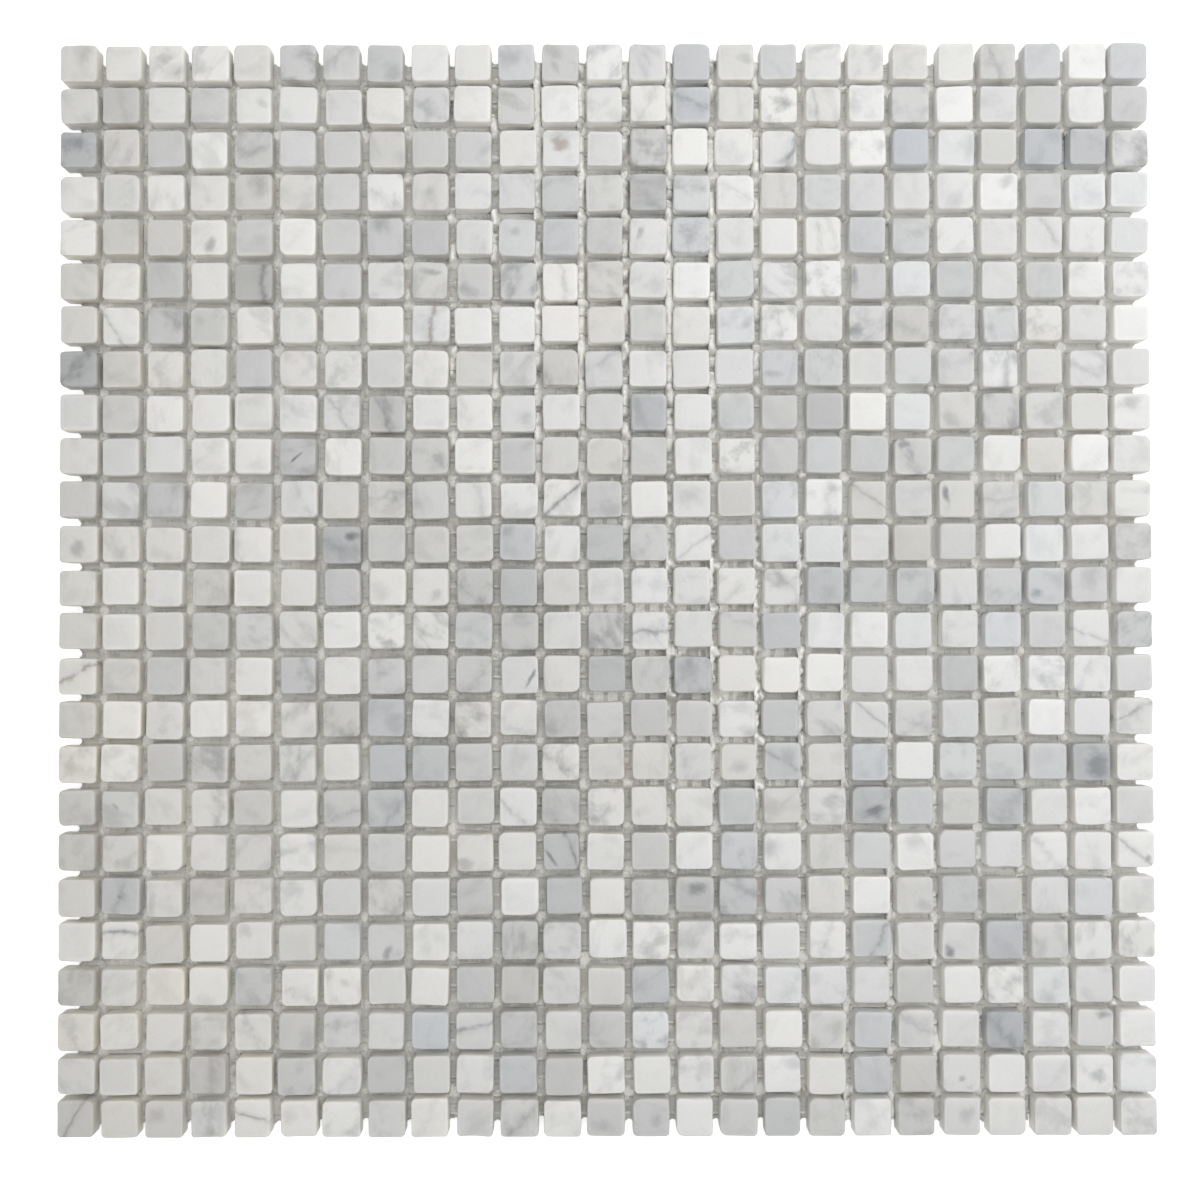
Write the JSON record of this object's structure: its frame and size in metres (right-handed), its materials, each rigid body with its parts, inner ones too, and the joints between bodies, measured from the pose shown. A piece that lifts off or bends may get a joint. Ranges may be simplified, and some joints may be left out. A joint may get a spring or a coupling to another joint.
{
  "type": "mosaic tile sheet",
  "caption": "Square mesh-mounted mosaic sheet of small tumbled grey-white marble chips set in straight rows with open joints.",
  "frame": {"origin": "middle of the sheet's back, at the underside of the mesh", "axes": "+X along the rows of chips, to the right; +Y up the columns; +Z out of the chips' faces, with the sheet lying face up"},
  "size_m": [0.3028, 0.3028, 0.0086],
  "materials": {
    "marble": "matte",
    "mesh": "matte"
  },
  "bodies": {
    "root": {"tile_row_01": "marble", "tile_row_02": "marble", "tile_row_03": "marble", "tile_row_04": "marble", "tile_row_05": "marble", "tile_row_06": "marble", "tile_row_07": "marble", "tile_row_08": "marble", "tile_row_09": "marble", "tile_row_10": "marble", "tile_row_11": "marble", "tile_row_12": "marble", "tile_row_13": "marble", "tile_row_14": "marble", "tile_row_15": "marble", "tile_row_16": "marble", "tile_row_17": "marble", "tile_row_18": "marble", "tile_row_19": "marble", "tile_row_20": "marble", "tile_row_21": "marble", "tile_row_22": "marble", "tile_row_23": "marble", "tile_row_24": "marble", "tile_row_25": "marble", "mesh_warp": "mesh", "mesh_weft": "mesh"}
  },
  "joints": []
}
